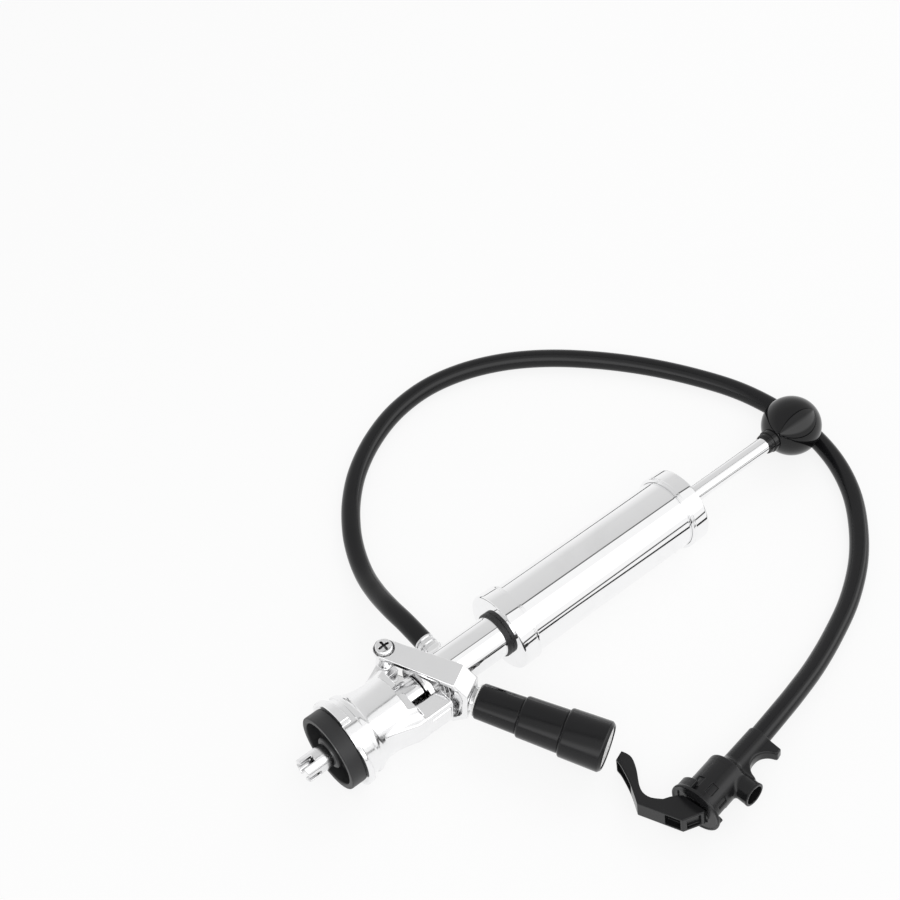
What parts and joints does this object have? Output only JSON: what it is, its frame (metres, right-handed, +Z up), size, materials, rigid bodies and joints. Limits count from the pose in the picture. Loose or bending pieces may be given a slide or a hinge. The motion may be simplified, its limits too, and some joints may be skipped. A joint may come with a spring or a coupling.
{
  "type": "keg party pump",
  "caption": "Chrome hand pump for a beer keg: lug coupler with a fork lever and stepped black grip, cylinder with ball-knob rod, black hose and picnic tap.",
  "frame": {"origin": "middle of the pump's footprint on the table, without hose and tap", "axes": "+X along the pump axis from the keg coupler to the knob, +Z up, the lever swings in the level plane on the -Y side"},
  "size_m": [0.3743, 0.3259, 0.0466],
  "materials": {
    "cast_chrome": "polished",
    "tube_chrome": "mirror",
    "bright_steel": "bright",
    "black_rubber": "satin",
    "grip_black": "glossy",
    "white_plastic": "satin",
    "knob_black": "glossy",
    "hose_black": "satin",
    "tap_black": "satin"
  },
  "bodies": {
    "coupler": {"coupler_body": "cast_chrome", "neck_seal": "black_rubber", "pivot_screw": "bright_steel", "pivot_nut": "bright_steel"},
    "lever": {"lever_fork": "cast_chrome", "drive_pin_top": "bright_steel", "drive_pin_bottom": "bright_steel", "grip_washer": "white_plastic"},
    "grip_unit": {"latch_rod": "bright_steel", "grip": "grip_black", "grip_end_cap": "white_plastic"},
    "probe": {"probe_tube": "bright_steel", "probe_seal": "black_rubber", "ball_seat": "black_rubber", "drive_collar": "cast_chrome", "stem_tube": "tube_chrome", "stem_washer": "black_rubber", "hose_barb": "bright_steel", "bottom_cap": "tube_chrome", "foot_valve": "black_rubber", "cylinder_tube": "tube_chrome", "top_cap": "tube_chrome", "rod_bushing": "bright_steel", "beer_hose": "hose_black", "tap_body": "tap_black", "tap_collar": "tap_black"},
    "ball": {"check_ball": "bright_steel"},
    "rod": {"piston_rod": "tube_chrome", "piston": "bright_steel", "piston_cup": "black_rubber", "piston_nut": "bright_steel", "knob_ferrule": "knob_black", "ball_knob": "knob_black"},
    "tap_handle": {"tap_lever": "tap_black", "tap_lever_pin": "tap_black"},
    "tap_valve": {"tap_plunger": "tap_black", "tap_seal": "black_rubber"}
  },
  "joints": [
    {"name": "lever_swing", "type": "hinge", "parent": "coupler", "child": "lever", "pos_m": [-0.11606, 0.04793, 0.0223], "axis": [0, 0, 1], "range_deg": [-34, 0]},
    {"name": "grip_pull", "type": "slide", "parent": "lever", "child": "grip_unit", "axis": [0.4695, -0.8829, 0], "range_m": [0, 0.0018], "stiffness_N_per_m": 900},
    {"name": "probe_slide", "type": "slide", "parent": "coupler", "child": "probe", "axis": [1, 0, 0], "range_m": [-0.01379, 0]},
    {"name": "pump_stroke", "type": "slide", "parent": "probe", "child": "rod", "axis": [1, 0, 0], "range_m": [-0.064, 0]},
    {"name": "ball_lift", "type": "slide", "parent": "probe", "child": "ball", "axis": [1, 0, 0], "range_m": [0, 0.0016]},
    {"name": "tap_press", "type": "hinge", "parent": "probe", "child": "tap_handle", "pos_m": [-0.05186, -0.11062, 0.0145], "axis": [-0.0242, 0.172, 0.9848], "range_deg": [-20, 0], "stiffness_Nm_per_rad": 0.3},
    {"name": "tap_valve_slide", "type": "slide", "parent": "probe", "child": "tap_valve", "axis": [0.9903, 0.1392, 0], "range_m": [0, 0.0021]}
  ],
  "couplings": [
    {"joint": "probe_slide", "follows": "lever_swing", "m_per_rad": 0.023215},
    {"joint": "tap_valve_slide", "follows": "tap_press", "m_per_rad": -0.00573}
  ]
}
